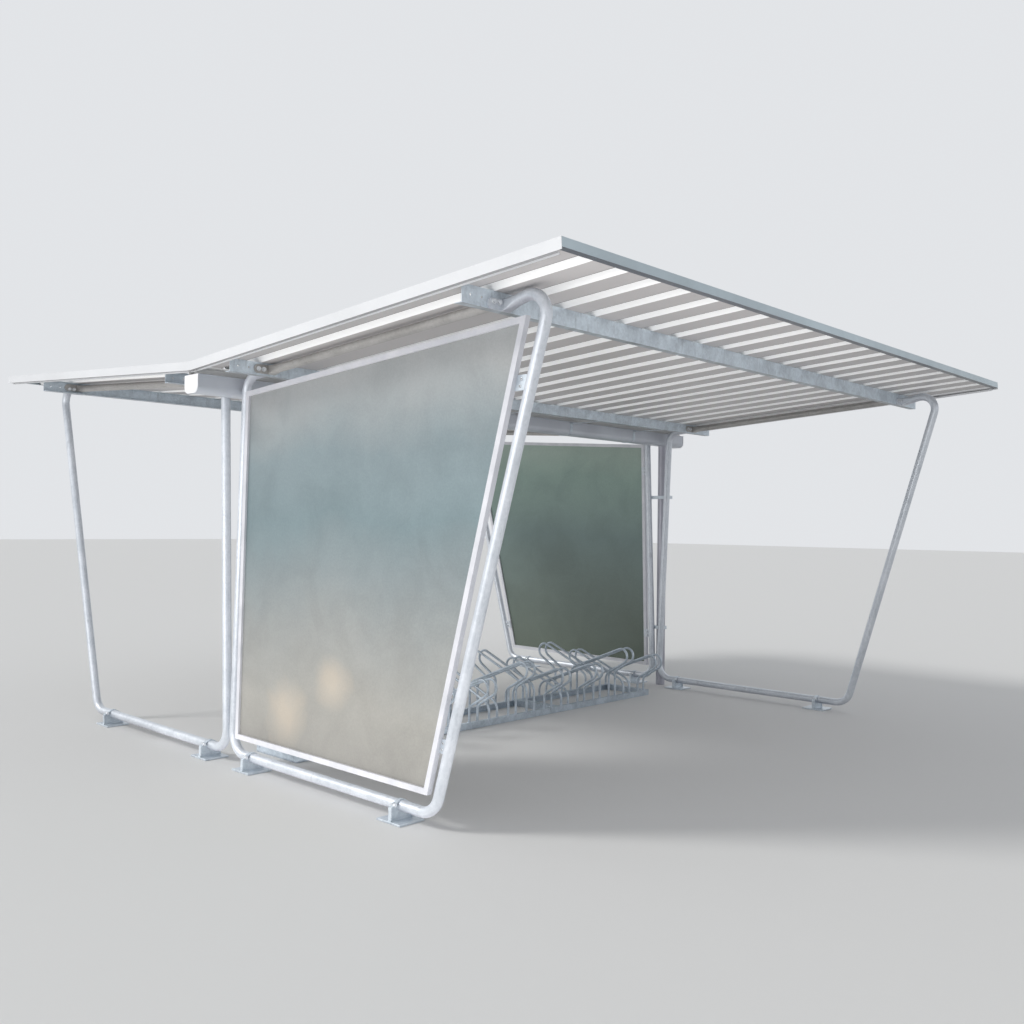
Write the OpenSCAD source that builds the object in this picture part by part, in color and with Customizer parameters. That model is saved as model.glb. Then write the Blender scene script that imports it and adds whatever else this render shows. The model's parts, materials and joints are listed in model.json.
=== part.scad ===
// Bike shelter: a butterfly roof on bent tube frames over a double-sided bike rack.
// X runs across the shelter, Y along the gutter, Z up, and the origin is on the ground in the middle.

/* [Roof] */
// Length of the roof along the gutter
roof_len = 4360; // [4260:20:4560]
// Distance from the middle of the gutter to an eave
roof_half_w = 2500; // [2440:10:2600]
// Height of the rib tops in the middle, over the gutter
valley_z = 2084; // [2044:4:2184]
// Slope of each roof half, in degrees
roof_slope = 3.67; // [3.4:0.01:4.2]
// Distance from one roof rib to the next
rib_pitch = 207; // [200:1:212]
// Height of a roof rib
rib_h = 30; // [24:1:34]
// Thickness of the roof sheet
sheet_t = 2; // [1.5:0.1:2.5]

/* [Frames] */
// Outer diameter of the frame tubes
tube_d = 48.3; // [44:0.1:50]
// Distance from the middle to the near and the far frames
frame_y = 1912; // [1880:2:1930]
// Height of the axis of the rail along the ground
rail_z = 65; // [60:1:75]
// Lean of the inner legs, in degrees
inner_lean = 2.3; // [2.1:0.1:2.5]
// Lean of the outer legs, in degrees
outer_lean = 16.4; // [16:0.1:16.8]
// Distance from the middle to an outer leg, at ground level
outer_leg_x = 1590; // [1570:5:1600]

/* [Purlins] */
// Distance from the middle to the web of an inner purlin
inner_purlin_x = 330; // [320:2:340]
// Distance from the middle to the web of an outer purlin
outer_purlin_x = 1978; // [1970:2:1986]
// Wall thickness of the purlins
purlin_t = 2.5; // [2:0.1:3]

/* [Rack] */
// Length of one rack module
module_len = 1050; // [1000:10:1060]
// Diameter of the hoop bars
hoop_d = 16; // [12:0.5:18]
// Distance between the two hoops of a pair
pair_gap = 72; // [66:1:80]
// How much higher the high hoops stand
hoop_step = 78; // [60:2:90]

/* [Panels] */
// Width of the bars round a side panel
bar_w = 26; // [22:1:28]
// Height of the lower edge of a side panel
panel_z = 150; // [140:2:190]

/* [Hidden] */
$fn = 48;
hull_fn = 32;
tube_r = tube_d / 2;
roof_end = roof_len / 2;
slope = tan(roof_slope);

// Height of the underside of the roof pans, at a distance x from the middle
function pan_z(x) = valley_z - rib_h - sheet_t + x * slope;

// Axes of the two legs of a frame, and half their width measured level
inner_leg_x = 27.5;
function inner_x(z) = inner_leg_x + z * tan(inner_lean);
function outer_x(z) = outer_leg_x + z * tan(outer_lean);
inner_half = tube_r / cos(inner_lean);
outer_half = tube_r / cos(outer_lean);

// Point where a line through p at angle a meets a line through q at angle b
function ray(a) = [cos(a), sin(a)];
function wedge(u, v) = u[0] * v[1] - u[1] * v[0];
function meet(p, a, q, b) = p + ray(a) * wedge(q - p, ray(b)) / wedge(ray(a), ray(b));
function heading(p, q) = atan2(q[1] - p[1], q[0] - p[0]);

// Change of direction at b on the way from a to c, and the length that a bend of radius r takes up
function wrap(a) = a > 180 ? a - 360 : a < -180 ? a + 360 : a;
function turn(a, b, c) = wrap(heading(b, c) - heading(a, b));
function setback(a, b, c, r) = r * tan(abs(turn(a, b, c)) / 2);

// Outline moved inwards by d, for corners given anticlockwise
function inset(p, d) = [
    for (i = [0:len(p) - 1])
        let (n = len(p), before = p[(i + n - 1) % n], here = p[i], after = p[(i + 1) % n])
        let (a = heading(before, here), b = heading(here, after))
        meet(here + d * ray(a + 90), a, here + d * ray(b + 90), b)
];

// Purlin sizes
inner_purlin_h = 64;
outer_purlin_h = 73;
flange_w = 40;
purlin_end = roof_end - 35;
splice_hole_d = 9;
splice_holes = [45, 105];

// Frame sizes: radii of the bends and the flattened ends of the tubes
top_bend_r = 90;
ground_bend_r = 110;
hook_r = 85;
hook_drop = 13;
squash_len = 75;
squash_step = 0.6;
tongue_t = 7;
tongue_h = 44;
tongue_len = 100;
run_depth = 33;
hook_depth = 52;
rafter_d = 42.4;

// Fine seam where a bend meets a straight run: its length and what it adds to the diameter
seam_l = 2;
seam_t = 0.2;

// Corners of the tube's route before it is bent
run_end = [inner_purlin_x - purlin_t, pan_z(inner_purlin_x) - run_depth];
hook_end = [outer_purlin_x, pan_z(outer_purlin_x) - hook_depth];
inner_up = 90 - inner_lean;
outer_up = 90 - outer_lean;
top_corner = meet(run_end, roof_slope, [inner_leg_x, 0], inner_up);
inner_corner = meet([0, rail_z], 0, [inner_leg_x, 0], inner_up);
outer_corner = meet([0, rail_z], 0, [outer_leg_x, 0], outer_up);
hook_corner = meet(hook_end, hook_drop, [outer_leg_x, 0], outer_up);

// Side panel: clear gaps to the legs, bars, sheet and tabs
gap_in_low = 34;
gap_in_high = 16;
gap_out_low = 19;
gap_out_high = 56;
panel_in_top = valley_z - 139;
panel_out_top = valley_z - 12;
panel_sheet_t = 3;
lug_t = 6;
tab_t = 5;
tab_half_h = 30;
lug_overlap = 20;
inner_tabs = [410, 1730];
outer_tabs = [360, 1820];
panel_low_in = [inner_x(panel_z) + inner_half + gap_in_low, panel_z];
panel_high_in = [inner_x(panel_in_top) + inner_half + gap_in_high, panel_in_top];
panel_low_out = [outer_x(panel_z) - outer_half - gap_out_low, panel_z];
panel_far_out = [outer_x(panel_out_top) - outer_half - gap_out_high, panel_out_top];
panel_in_up = heading(panel_low_in, panel_high_in);
panel_out_up = heading(panel_low_out, panel_far_out);
panel_high_out = meet(panel_high_in, roof_slope, panel_low_out, panel_out_up);
panel_outline = [panel_low_in, panel_low_out, panel_high_out, panel_high_in];
function panel_in_x(z) = meet(panel_low_in, panel_in_up, [0, z], 0)[0];
function panel_out_x(z) = meet(panel_low_out, panel_out_up, [0, z], 0)[0];

// Feet
foot_xs = [210, 1390];
base_w = 155;
base_l = 130;
base_t = 8;
web_t = 6;
strap_w = 20;
strap_t = 5;
foot_spread = 55;
lug_top = 50;

// Gutter, downpipe and flashings
gutter_half_w = 64;
gutter_depth = 92;
gutter_top = valley_z - 64;
gutter_r = 34;
gutter_t = 2;
gutter_lip = 10;
gutter_end = roof_end - 12;
cap_t = 3;
cap_edge = 3;
outlet_y = frame_y + 63;
outlet_d = 60;
pipe_d = 70;
pipe_t = 3;
hanger_w = 25;
hanger_t = 3;
hanger_ys = [-1500, -750, 0, 750, 1500];
drip_in = 30;
drip_out = 88;
drip_t = 1.5;
drip_low = 80;
clip_zs = [450, 1500];
clip_h = 25;
clip_t = 3;
saddle_in = 12;
saddle_side = 12;

// Roof sheet and trims
rib_foot = 81;
rib_crest = 40;
rib_side = (rib_foot - rib_crest) / 2;
rib_count = floor((roof_len - 2 * 100) / rib_pitch);
first_rib = -roof_end + 128;
valley_gap = 12;
trim_t = 2;
eave_t = 3;
eave_leaf = 30;
verge_leaf = 180;
verge_drop = 11;
verge_lip = 22;
verge_hem = 8;
crest_z = rib_h + sheet_t;
eave_l = roof_half_w / cos(roof_slope);

// Rack: rails, cross members and hoops
rack_x = 42.5;
rack_y = -1660;
rail_face = 193;
rail_w = 26;
rail_h = 40;
rail_t = 4;
cross_w = 34;
module_gap = 0;
pairs = 6;
upright_x = 180;
hoop_rise = 31;
hoop_return = 21.8;
hoop_nose = 343;
nose_r = 52;
knee_z = 137;
knee_r = 45;
heel_r = 75;
modules = [0, 1, 2];
right_highs = [0, 1, 0];
left_highs = [[1, 0, 1], [1, 0, 1], [0, 1, 0]];

// Drawings in X and Z, stood up in the plane at y, with their thickness towards the near end
module upright_at(y) {
    translate([0, y, 0])
        rotate([90, 0, 0])
            children();
}

// Profile in X and Z, run along Y between two ends
module along_y(from, to) {
    translate([0, to, 0])
        rotate([90, 0, 0])
            linear_extrude(to - from)
                children();
}

// Profile in Y and Z, run along X between two ends
module along_x(from, to) {
    translate([from, 0, 0])
        rotate([90, 0, 90])
            linear_extrude(to - from)
                children();
}

// The plane of the roof pans on the right half
module on_slope() {
    translate([0, 0, pan_z(0)])
        rotate([0, -roof_slope, 0])
            children();
}

module left() {
    mirror([1, 0, 0])
        children();
}

module both_sides() {
    children();
    left()
        children();
}

// Round bar or tube through the given corners, bent to the given radii
module bent_bar(points, radii, d) {
    last = len(points) - 1;
    cuts = [
        for (i = [0:last])
            i == 0 || i == last ? 0 : setback(points[i - 1], points[i], points[i + 1], radii[i - 1])
    ];
    runs = [for (i = [0:last - 1]) norm(points[i + 1] - points[i]) - cuts[i] - cuts[i + 1]];
    swings = [for (i = [1:last - 1]) turn(points[i - 1], points[i], points[i + 1])];
    translate(points[0])
        rotate([0, 0, heading(points[0], points[1])])
            bar_from(0, runs, swings, radii, d);
}

// The bar from its straight run number i to its end, starting at the origin along X
module bar_from(i, runs, swings, radii, d) {
    low = i == 0 ? 0 : seam_l / 4;
    high = i == len(swings) ? runs[i] : runs[i] - seam_l / 4;
    translate([low, 0, 0])
        rotate([0, 90, 0])
            cylinder(d = d, h = high - low);
    if (i < len(swings)) {
        r = radii[i] * sign(swings[i]);
        translate([runs[i] - 3 * seam_l / 4, 0, 0])
            rotate([0, 90, 0])
                cylinder(d = d + seam_t, h = seam_l);
        translate([runs[i], r, 0]) {
            rotate([0, 0, swings[i] > 0 ? -90 : 90 + swings[i]])
                rotate_extrude(angle = abs(swings[i]))
                    translate([radii[i], 0])
                        circle(d = d);
            rotate([0, 0, swings[i]])
                translate([0, -r, 0]) {
                    translate([-seam_l / 4, 0, 0])
                        rotate([0, 90, 0])
                            cylinder(d = d + seam_t, h = seam_l);
                    bar_from(i + 1, runs, swings, radii, d);
                }
        }
    }
}

// Tube end pressed flat against a web at the point p, with a tongue to the near side for the bolts
module flat_end(p, away, d) {
    side = sign(cos(away));
    hull() {
        translate(p + squash_len * ray(away))
            rotate([0, 0, away + 180])
                rotate([0, 90, 0])
                    cylinder(d = d - squash_step, h = 1, $fn = hull_fn);
        translate([side > 0 ? p[0] : p[0] - tongue_t, p[1] - tongue_h / 2, -d / 2])
            cube([tongue_t, tongue_h, d]);
    }
    translate([side > 0 ? p[0] : p[0] - tongue_t, p[1] - tongue_h / 2, 0])
        cube([tongue_t, tongue_h, tongue_len - tongue_h / 2]);
    translate([side > 0 ? p[0] : p[0] - tongue_t, p[1], tongue_len - tongue_h / 2])
        rotate([0, 90, 0])
            cylinder(d = tongue_h, h = tongue_t);
}

// Tube frame of the right half, drawn upright
module frame_tube() {
    start = run_end + squash_len * ray(180 + roof_slope);
    stop = hook_end + squash_len * ray(hook_drop);
    bent_bar([start, top_corner, inner_corner, outer_corner, hook_corner, stop],
        [top_bend_r, ground_bend_r, ground_bend_r, hook_r], tube_d);
    flat_end(run_end, 180 + roof_slope, tube_d);
    flat_end(hook_end, hook_drop, tube_d);
}

// Lugs welded to both legs, behind the bars of a side panel
module frame_lugs() {
    for (z = inner_tabs)
        translate([0, 0, -lug_t / 2])
            linear_extrude(lug_t)
                polygon([
                    [inner_x(z - tab_half_h), z - tab_half_h],
                    [panel_in_x(z - tab_half_h) + lug_overlap, z - tab_half_h],
                    [panel_in_x(z + tab_half_h) + lug_overlap, z + tab_half_h],
                    [inner_x(z + tab_half_h), z + tab_half_h],
                ]);
    for (z = outer_tabs)
        translate([0, 0, -lug_t / 2])
            linear_extrude(lug_t)
                polygon([
                    [panel_out_x(z - tab_half_h) - lug_overlap, z - tab_half_h],
                    [outer_x(z - tab_half_h), z - tab_half_h],
                    [outer_x(z + tab_half_h), z + tab_half_h],
                    [panel_out_x(z + tab_half_h) - lug_overlap, z + tab_half_h],
                ]);
}

module near_right_frame() {
    color("gainsboro")
        upright_at(-frame_y) {
            frame_tube();
            frame_lugs();
        }
}

module near_left_frame() {
    color("gainsboro")
        left()
            upright_at(-frame_y)
                frame_tube();
}

module far_right_frame() {
    color("lightsteelblue")
        upright_at(frame_y)
            frame_tube();
}

module far_left_frame() {
    color("lightsteelblue")
        left()
            upright_at(frame_y) {
                frame_tube();
                frame_lugs();
            }
}

// Rafter tube of the right half, between the webs of its two purlins
module rafter(y) {
    low = [inner_purlin_x, pan_z(inner_purlin_x) - run_depth];
    high = [outer_purlin_x - purlin_t, pan_z(outer_purlin_x - purlin_t) - run_depth];
    color("silver")
        upright_at(y) {
            bent_bar([low + squash_len * ray(roof_slope), high - squash_len * ray(roof_slope)],
                [], rafter_d);
            flat_end(low, roof_slope, rafter_d);
            flat_end(high, 180 + roof_slope, rafter_d);
        }
}

// Channel purlin of the right half, open towards the middle, its top flange on the roof's slope
module purlin(x, h) {
    low = pan_z(x) - h;
    color("lightslategray")
        difference() {
            along_y(-purlin_end, purlin_end)
                polygon([
                    [x, low],
                    [x, pan_z(x)],
                    [x - flange_w, pan_z(x - flange_w)],
                    [x - flange_w, pan_z(x - flange_w) - purlin_t],
                    [x - purlin_t, pan_z(x - purlin_t) - purlin_t],
                    [x - purlin_t, low + purlin_t],
                    [x - flange_w, low + purlin_t],
                    [x - flange_w, low],
                ]);
            for (end = [-1, 1])
                for (setin = splice_holes)
                    translate([x - 2 * purlin_t, end * (purlin_end - setin), low + h / 2])
                        rotate([0, 90, 0])
                            cylinder(d = splice_hole_d, h = 4 * purlin_t);
        }
}

// Outline of the ribbed sheet from one gable to the other
function rib(y, lift, grow) = [
    [y - grow, lift],
    [y + rib_side - grow, lift + rib_h],
    [y + rib_side + rib_crest + grow, lift + rib_h],
    [y + rib_foot + grow, lift],
];
rib_grow = sheet_t * tan(atan2(rib_h, rib_side) / 2);
sheet_end = roof_end - trim_t;
top_line = [
    for (i = [0:rib_count - 1])
        each rib(first_rib + i * rib_pitch, sheet_t, rib_grow)
];
under_line = [
    for (i = [rib_count - 1:-1:0])
        let (r = rib(first_rib + i * rib_pitch, 0, 0))
        each [r[3], r[2], r[1], r[0]]
];

module roof_sheet() {
    color("whitesmoke")
        on_slope()
            along_x(valley_gap, eave_l - eave_t)
                polygon(concat(
                    [[-sheet_end, 0], [-sheet_end, sheet_t]],
                    top_line,
                    [[sheet_end, sheet_t], [sheet_end, 0]],
                    under_line
                ));
}

// Channel that caps the ends of the ribs along the eave
module eave_trim() {
    color("lightslategray")
        on_slope()
            along_y(-sheet_end, sheet_end)
                polygon([
                    [eave_l - eave_leaf, crest_z],
                    [eave_l - eave_t, crest_z],
                    [eave_l - eave_t, 0],
                    [eave_l - eave_leaf, 0],
                    [eave_l - eave_leaf, -trim_t],
                    [eave_l, -trim_t],
                    [eave_l, crest_z + trim_t],
                    [eave_l - eave_leaf, crest_z + trim_t],
                ]);
}

// Verge trim on the near end of the right half: a leaf on the first rib, a face, a lip and its hem
module verge_half() {
    on_slope() {
        along_x(valley_gap, eave_l - eave_leaf)
            polygon([
                [-roof_end + verge_leaf, crest_z],
                [-roof_end + verge_leaf, crest_z + trim_t],
                [-roof_end, crest_z + trim_t],
                [-roof_end, -verge_drop],
                [-roof_end + verge_lip, -verge_drop],
                [-roof_end + verge_lip, -verge_drop - verge_hem],
                [-roof_end + verge_lip + trim_t, -verge_drop - verge_hem],
                [-roof_end + verge_lip + trim_t, -verge_drop + trim_t],
                [-sheet_end, -verge_drop + trim_t],
                [-sheet_end, crest_z],
            ]);
        along_x(eave_l - eave_leaf, eave_l)
            translate([-roof_end, -verge_drop])
                square([trim_t, crest_z + trim_t + verge_drop]);
    }
}

module near_verge_trim() {
    color("white")
        both_sides()
            verge_half();
}

module far_verge_trim() {
    color("white")
        mirror([0, 1, 0])
            both_sides()
                verge_half();
}

// Strips under the low roof edges that lead the water into the gutter
module drip_flashings() {
    color("white")
        both_sides()
            along_y(-gutter_end, gutter_end)
                polygon([
                    [drip_in, pan_z(drip_in)],
                    [drip_in, valley_z - drip_low],
                    [drip_in + drip_t, valley_z - drip_low],
                    [drip_in + drip_t, pan_z(drip_in + drip_t) - drip_t],
                    [drip_out, pan_z(drip_out) - drip_t],
                    [drip_out, pan_z(drip_out)],
                ]);
}

// Section of a trough with rounded lower corners, its open edge raised by extra
module trough(half_w, depth, r, extra) {
    translate([-half_w, -depth + r])
        square([2 * half_w, depth - r + extra]);
    translate([-half_w + r, -depth])
        square([2 * (half_w - r), 2 * r]);
    for (side = [-1, 1])
        translate([side * (half_w - r), -depth + r])
            circle(r);
}

module gutter() {
    color("lightgray")
        difference() {
            along_y(-gutter_end, gutter_end)
                translate([0, gutter_top])
                    difference() {
                        union() {
                            trough(gutter_half_w, gutter_depth, gutter_r, 0);
                            translate([-gutter_half_w - gutter_lip, -gutter_t])
                                square([2 * (gutter_half_w + gutter_lip), gutter_t]);
                        }
                        trough(gutter_half_w - gutter_t, gutter_depth - gutter_t, gutter_r - gutter_t, gutter_t);
                    }
            translate([0, outlet_y, gutter_top - gutter_depth - gutter_t])
                cylinder(d = outlet_d, h = 3 * gutter_t);
        }
}

module gutter_end_caps() {
    color("white")
        for (side = [-1, 1])
            along_y(min(side * gutter_end, side * (gutter_end + cap_t)),
                max(side * gutter_end, side * (gutter_end + cap_t)))
                translate([0, gutter_top])
                    trough(gutter_half_w + cap_edge, gutter_depth + cap_edge, gutter_r + cap_edge, 0);
}

// Straps round the gutter, with arms that reach under the inner purlins
module gutter_hangers() {
    arm_z = pan_z(inner_purlin_x) - inner_purlin_h;
    strap_top = arm_z - gutter_top;
    color("silver")
        for (y = hanger_ys)
            along_y(y - hanger_w / 2, y + hanger_w / 2)
                translate([0, gutter_top])
                    difference() {
                        union() {
                            intersection() {
                                trough(gutter_half_w + hanger_t, gutter_depth + hanger_t, gutter_r + hanger_t, 0);
                                translate([-gutter_half_w - hanger_t, strap_top - gutter_depth - hanger_t])
                                    square([2 * (gutter_half_w + hanger_t), gutter_depth + hanger_t]);
                            }
                            translate([-inner_purlin_x, strap_top - hanger_t])
                                square([2 * inner_purlin_x, hanger_t]);
                        }
                        trough(gutter_half_w, gutter_depth, gutter_r, gutter_t);
                    }
}

module downpipe() {
    color("darkgray")
        translate([0, outlet_y, 0])
            difference() {
                cylinder(d = pipe_d, h = gutter_top - gutter_depth);
                translate([0, 0, -1])
                    cylinder(d = pipe_d - 2 * pipe_t, h = gutter_top);
            }
}

// Rings round the downpipe, each with a saddle against the inner legs of the far frames
module downpipe_clips() {
    color("silver")
        for (z = clip_zs)
            difference() {
                union() {
                    translate([0, outlet_y, z])
                        cylinder(d = pipe_d + 2 * clip_t, h = clip_h);
                    translate([-inner_x(z) - saddle_side, frame_y + tube_r - saddle_in, z])
                        cube([2 * (inner_x(z) + saddle_side), outlet_y - frame_y - tube_r + saddle_in, clip_h]);
                }
                translate([0, outlet_y, z - 1])
                    cylinder(d = pipe_d, h = clip_h + 2);
                for (side = [-1, 1])
                    translate([side * inner_leg_x, frame_y, 0])
                        rotate([0, side * inner_lean, 0])
                            cylinder(r = tube_r, h = valley_z);
            }
}

// Side panel of the near right frame: bars, sheet and tabs, drawn upright
module panel_bars() {
    color("white")
        upright_at(-frame_y)
            translate([0, 0, lug_t / 2])
                linear_extrude(bar_w)
                    difference() {
                        polygon(panel_outline);
                        polygon(inset(panel_outline, bar_w));
                    }
}

module panel_plate() {
    color("darkseagreen")
        upright_at(-frame_y)
            translate([0, 0, lug_t / 2 + (bar_w - panel_sheet_t) / 2])
                linear_extrude(panel_sheet_t)
                    polygon(inset(panel_outline, bar_w));
}

module panel_tabs() {
    color("gainsboro")
        upright_at(-frame_y)
            translate([0, 0, lug_t / 2])
                linear_extrude(tab_t) {
                    for (z = inner_tabs)
                        polygon([
                            [inner_x(z - tab_half_h) + inner_half + 1, z - tab_half_h],
                            [panel_in_x(z - tab_half_h), z - tab_half_h],
                            [panel_in_x(z + tab_half_h), z + tab_half_h],
                            [inner_x(z + tab_half_h) + inner_half + 1, z + tab_half_h],
                        ]);
                    for (z = outer_tabs)
                        polygon([
                            [panel_out_x(z - tab_half_h), z - tab_half_h],
                            [outer_x(z - tab_half_h) - outer_half - 1, z - tab_half_h],
                            [outer_x(z + tab_half_h) - outer_half - 1, z + tab_half_h],
                            [panel_out_x(z + tab_half_h), z + tab_half_h],
                        ]);
                }
}

module turned() {
    rotate([0, 0, 180])
        children();
}

// Outline of a foot's strap round the tube, seen along the tube
module strap_outline(r, spread) {
    translate([0, rail_z])
        circle(r);
    polygon([[-spread, base_t], [spread, base_t], [r, rail_z], [-r, rail_z]]);
}

module foot(x) {
    translate([x - base_w / 2, -base_l / 2, 0])
        cube([base_w, base_l, base_t]);
    along_x(x - strap_w / 2, x + strap_w / 2)
        difference() {
            strap_outline(tube_r + strap_t, foot_spread);
            strap_outline(tube_r, foot_spread - strap_t);
        }
    along_x(x - web_t / 2, x + web_t / 2)
        difference() {
            strap_outline(tube_r + strap_t, foot_spread);
            translate([0, rail_z])
                circle(tube_r);
        }
    translate([x - strap_w / 2, tube_r, rail_z])
        cube([strap_w, strap_t, lug_top]);
}

module feet(y) {
    color("silver")
        translate([0, y, 0])
            for (x = foot_xs)
                foot(x);
}

// Rails and cross members of one rack module
module rack_base(number) {
    low = rack_y + number * module_len + module_gap / 2;
    high = low + module_len - module_gap;
    color("lightsteelblue")
        translate([rack_x, 0, 0]) {
            both_sides()
                along_y(low, high)
                    difference() {
                        translate([rail_face - rail_w, 0])
                            square([rail_w, rail_h]);
                        translate([rail_face - rail_w - 1, rail_t])
                            square([rail_w - rail_t + 1, rail_h - 2 * rail_t]);
                    }
            for (y = [low, high - cross_w])
                along_x(-rail_face + rail_t / 2, rail_face - rail_t / 2)
                    translate([y, 0])
                        difference() {
                            square([cross_w, rail_h]);
                            translate([rail_t, -1])
                                square([cross_w - 2 * rail_t, rail_h - rail_t + 1]);
                        }
        }
}

// One hoop that leans to the right, drawn upright round the rack's middle, raised by lift
module hoop(lift) {
    knee = [upright_x, knee_z + lift];
    nose = [hoop_nose - nose_r, knee[1] + (hoop_nose - nose_r - upright_x) * tan(hoop_rise) + nose_r / cos(hoop_rise)];
    crown = nose + nose_r * ray(90 + hoop_return);
    tip = meet(knee, hoop_rise, crown, hoop_return);
    heel = meet([-upright_x, 0], 90, crown, hoop_return);
    bent_bar([[upright_x, rail_h], knee, tip, heel, [-upright_x, rail_h]],
        [knee_r, nose_r, heel_r], hoop_d);
}

// Three pairs of hoops of one module that lean to the right, the first pair starting at slot
module hoop_pairs(number, slot, highs) {
    pitch = module_len / pairs;
    color("lightsteelblue")
        for (k = [0:2])
            for (side = [-1, 1])
                upright_at(rack_y + number * module_len + (slot + 2 * k + 0.5) * pitch + side * pair_gap / 2)
                    hoop(highs[k] * hoop_step);
}

module right_hoops(number) {
    translate([rack_x, 0, 0])
        hoop_pairs(number, 1, right_highs);
}

module left_hoops(number) {
    translate([rack_x, 0, 0])
        left()
            hoop_pairs(number, 0, left_highs[number]);
}

near_right_frame();
near_left_frame();
far_right_frame();
far_left_frame();
rafter(-frame_y);  // near_right_rafter
left() rafter(-frame_y);  // near_left_rafter
rafter(frame_y);  // far_right_rafter
left() rafter(frame_y);  // far_left_rafter
purlin(outer_purlin_x, outer_purlin_h);  // right_outer_purlin
purlin(inner_purlin_x, inner_purlin_h);  // right_inner_purlin
left() purlin(inner_purlin_x, inner_purlin_h);  // left_inner_purlin
left() purlin(outer_purlin_x, outer_purlin_h);  // left_outer_purlin
roof_sheet();  // right_roof_sheet
left() roof_sheet();  // left_roof_sheet
eave_trim();  // right_eave_trim
left() eave_trim();  // left_eave_trim
near_verge_trim();
far_verge_trim();
drip_flashings();
gutter();
gutter_end_caps();
gutter_hangers();
downpipe();
downpipe_clips();
panel_bars();  // near_panel_frame
panel_plate();  // near_panel_sheet
panel_tabs();  // near_panel_tabs
turned() panel_bars();  // far_panel_frame
turned() panel_plate();  // far_panel_sheet
turned() panel_tabs();  // far_panel_tabs
feet(-frame_y);  // near_right_feet
left() feet(-frame_y);  // near_left_feet
feet(frame_y);  // far_right_feet
left() feet(frame_y);  // far_left_feet
rack_base(modules[0]);  // near_rack_base
rack_base(modules[1]);  // middle_rack_base
rack_base(modules[2]);  // far_rack_base
right_hoops(modules[0]);  // near_rack_right_hoops
left_hoops(modules[0]);  // near_rack_left_hoops
right_hoops(modules[1]);  // middle_rack_right_hoops
left_hoops(modules[1]);  // middle_rack_left_hoops
right_hoops(modules[2]);  // far_rack_right_hoops
left_hoops(modules[2]);  // far_rack_left_hoops
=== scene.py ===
import json
import math

import bmesh
import bpy
from mathutils import Matrix, Vector


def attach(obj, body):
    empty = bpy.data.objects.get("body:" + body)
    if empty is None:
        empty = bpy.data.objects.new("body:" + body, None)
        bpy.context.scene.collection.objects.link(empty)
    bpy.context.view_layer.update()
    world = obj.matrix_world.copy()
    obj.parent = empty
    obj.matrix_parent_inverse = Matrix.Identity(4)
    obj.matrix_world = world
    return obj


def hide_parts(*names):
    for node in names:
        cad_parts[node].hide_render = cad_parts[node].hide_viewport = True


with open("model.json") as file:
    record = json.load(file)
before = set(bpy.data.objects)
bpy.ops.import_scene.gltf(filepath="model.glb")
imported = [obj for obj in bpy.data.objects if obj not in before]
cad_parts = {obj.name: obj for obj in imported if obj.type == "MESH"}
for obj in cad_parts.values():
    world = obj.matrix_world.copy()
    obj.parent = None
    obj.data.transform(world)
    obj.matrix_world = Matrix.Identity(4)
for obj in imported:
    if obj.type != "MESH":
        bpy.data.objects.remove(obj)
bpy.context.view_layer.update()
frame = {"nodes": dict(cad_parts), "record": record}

nodes = frame["nodes"]
print("stage: frame loaded, nodes:", len(nodes))

# Helpers for materials


def newMaterial(name):
    material = bpy.data.materials.new(name)
    material.use_nodes = True
    tree = material.node_tree
    tree.nodes.clear()
    output = tree.nodes.new("ShaderNodeOutputMaterial")
    shader = tree.nodes.new("ShaderNodeBsdfPrincipled")
    tree.links.new(shader.outputs["BSDF"], output.inputs["Surface"])
    return material, tree, shader


def addNode(tree, kind, inputs=None, **settings):
    node = tree.nodes.new(kind)
    for key, value in settings.items():
        setattr(node, key, value)
    for key, value in (inputs or {}).items():
        if isinstance(value, bpy.types.NodeSocket):
            tree.links.new(value, node.inputs[key])
        else:
            node.inputs[key].default_value = value
    return node


def objectPlace(tree, stretch=(1, 1, 1)):
    source = addNode(tree, "ShaderNodeTexCoord")
    inputs = {"Vector": source.outputs["Object"], "Scale": stretch}
    return addNode(tree, "ShaderNodeMapping", inputs).outputs["Vector"]


def axesOf(tree, kind):
    source = addNode(tree, "ShaderNodeTexCoord")
    return addNode(tree, "ShaderNodeSeparateXYZ", {"Vector": source.outputs[kind]}).outputs


def calc(tree, operation, first, second=0.0):
    return addNode(tree, "ShaderNodeMath", {0: first, 1: second}, operation=operation).outputs["Value"]


def noise(tree, vector, scale, detail=4.0, roughness=0.55, distortion=0.0):
    inputs = {"Vector": vector, "Scale": scale, "Detail": detail, "Roughness": roughness,
              "Distortion": distortion}
    return addNode(tree, "ShaderNodeTexNoise", inputs).outputs["Fac"]


def spangles(tree, vector, size, channel):
    cells = addNode(tree, "ShaderNodeTexVoronoi", {"Vector": vector, "Scale": 1 / size})
    return addNode(tree, "ShaderNodeSeparateColor", {"Color": cells.outputs["Color"]}).outputs[channel]


def ramp(tree, factor, stops, steps=False):
    node = addNode(tree, "ShaderNodeValToRGB", {"Fac": factor})
    node.color_ramp.interpolation = "CONSTANT" if steps else "LINEAR"
    elements = node.color_ramp.elements
    while len(elements) < len(stops):
        elements.new(0.5)
    for element, (position, colour) in zip(elements, stops):
        element.position = position
        element.color = (*colour, 1)
    return node.outputs["Color"]


def grey(value):
    return (value, value, value)


def mixColour(tree, factor, first, second, mode="MIX"):
    node = addNode(tree, "ShaderNodeMix", data_type="RGBA", blend_type=mode)
    for socket, value in ((node.inputs[0], factor), (node.inputs[6], first), (node.inputs[7], second)):
        if isinstance(value, bpy.types.NodeSocket):
            tree.links.new(value, socket)
        elif isinstance(value, tuple):
            socket.default_value = (*value, 1)
        else:
            socket.default_value = value
    return node.outputs[2]


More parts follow.
